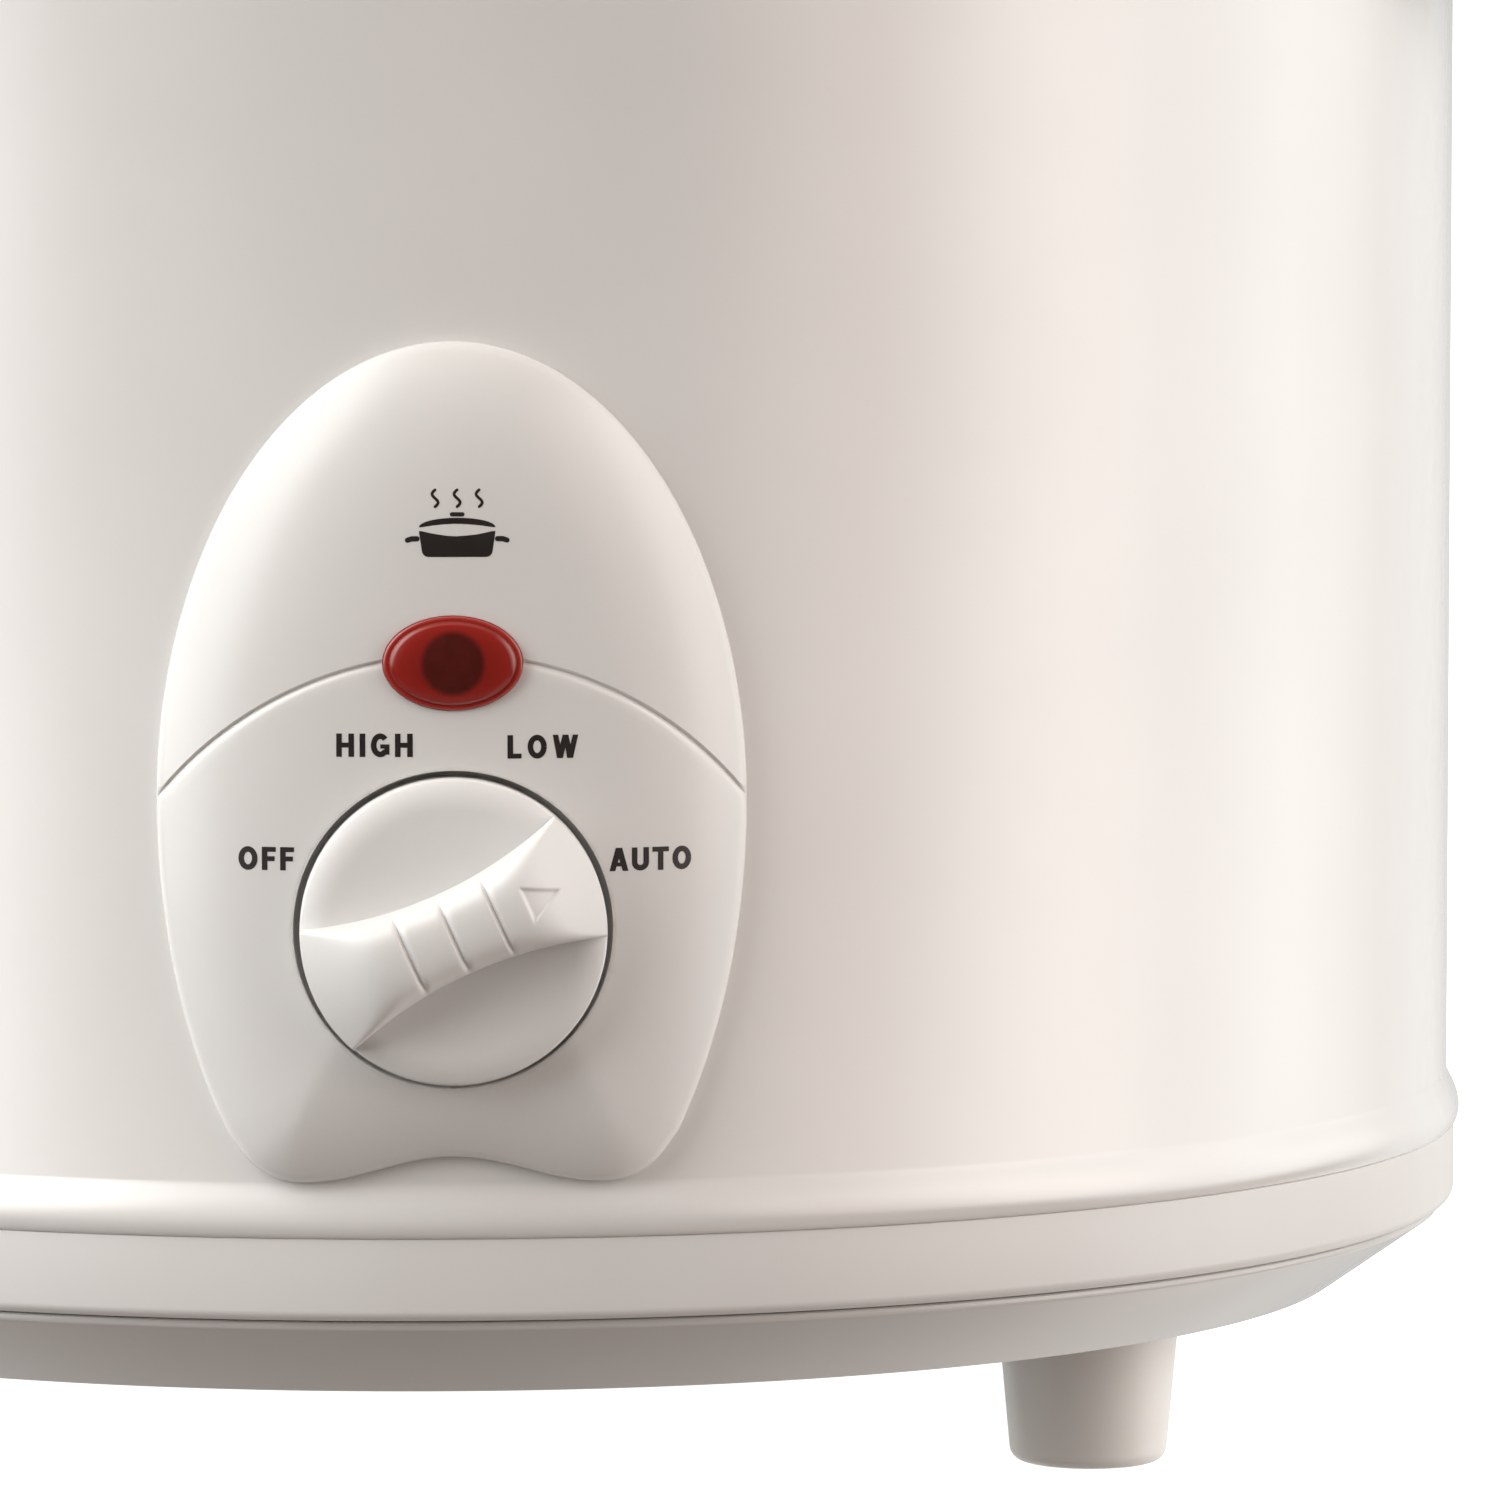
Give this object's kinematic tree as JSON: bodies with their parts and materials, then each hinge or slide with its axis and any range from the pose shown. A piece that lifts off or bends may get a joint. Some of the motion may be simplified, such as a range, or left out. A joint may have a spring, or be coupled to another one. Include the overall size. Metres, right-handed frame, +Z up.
{
  "type": "slow cooker",
  "caption": "Round countertop slow cooker on three feet, with a front dial, an indicator lamp, two side handles, a lift-out stoneware crock and a domed glass lid.",
  "frame": {"origin": "centre of the part's footprint on the table: Z = 0 is the floor plane under the three feet", "axes": "+Z up; -Y out of the front, through the dial; +X to the right as seen from the front, along the two side handles"},
  "size_m": [0.301, 0.2686, 0.262],
  "materials": {
    "white_enamel": "gloss white baked paint with a fine orange peel",
    "white_gloss_plastic": "gloss white",
    "grey_gloss_plastic": "gloss, slightly grey white",
    "foot_plastic": "matte off-white",
    "knob_plastic": "satin white",
    "aluminised_steel": "satin",
    "aluminium_sheet": "mill",
    "zinc_steel": "zinc plated",
    "steel_trim": "polished",
    "terminal_brass": "plain",
    "glass_cloth": "woven glass cloth",
    "sleeve_cloth": "woven sleeve",
    "dark_plastic": "moulded phenolic",
    "natural_nylon": "natural nylon",
    "red_lens": "translucent red",
    "lamp_glass": "clear",
    "wire_black": "satin",
    "wire_white": "satin",
    "wire_red": "satin",
    "wire_blue": "satin",
    "black_glaze": "gloss black glaze over stoneware",
    "clear_glass": "clear tempered",
    "dark_silicone": "matte"
  },
  "bodies": {
    "cooker": {"outer_shell": "white_enamel", "base_ring": "white_gloss_plastic", "bottom_cover": "grey_gloss_plastic", "foot_front_right": "foot_plastic", "foot_front_left": "foot_plastic", "foot_rear": "foot_plastic", "foot_screws": "zinc_steel", "foot_nuts": "zinc_steel", "inner_liner": "aluminised_steel", "tie_stud": "zinc_steel", "tie_washer": "zinc_steel", "tie_nut": "zinc_steel", "heat_shield": "aluminium_sheet", "shield_spacer": "zinc_steel", "shield_nut": "zinc_steel", "heater_belt": "glass_cloth", "belt_band": "zinc_steel", "heater_terminals": "terminal_brass", "thermostat": "dark_plastic", "thermostat_bracket": "zinc_steel", "thermal_fuse": "sleeve_cloth", "fuse_clip": "zinc_steel", "control_panel": "white_gloss_plastic", "indicator_lens": "red_lens", "neon_lamp": "lamp_glass", "switch_body": "dark_plastic", "switch_terminals": "terminal_brass", "switch_screws": "zinc_steel", "panel_screws": "zinc_steel", "handle_right": "white_gloss_plastic", "handle_left": "white_gloss_plastic", "handle_screws": "zinc_steel", "terminal_block": "natural_nylon", "terminal_screws": "terminal_brass", "cord_gland": "white_gloss_plastic", "gland_nut": "white_gloss_plastic", "splice_caps": "natural_nylon", "wires_black": "wire_black", "wires_white": "wire_white", "wires_red": "wire_red", "wires_blue": "wire_blue", "wires_lamp": "wire_white"},
    "dial": {"knob": "knob_plastic", "knob_clip": "zinc_steel", "dial_shaft": "zinc_steel", "switch_rotor": "natural_nylon"},
    "crock": {"crock": "black_glaze"},
    "lid": {"lid_glass": "clear_glass", "lid_band": "steel_trim", "vent_eyelet": "steel_trim", "lid_gasket": "dark_silicone", "lid_knob": "white_gloss_plastic", "lid_washer": "zinc_steel", "lid_screw": "zinc_steel"}
  },
  "joints": [
    {"name": "dial_turn", "type": "hinge", "parent": "cooker", "child": "dial", "pos_m": [0, -0.12, 0.0695], "axis": [0, -1, 0], "range_deg": [0, 135]},
    {"name": "crock_lift", "type": "slide", "parent": "cooker", "child": "crock", "axis": [0, 0, 1], "range_m": [0, 0.17]},
    {"name": "lid_lift", "type": "slide", "parent": "crock", "child": "lid", "axis": [0, 0, 1], "range_m": [0, 0.08]}
  ]
}
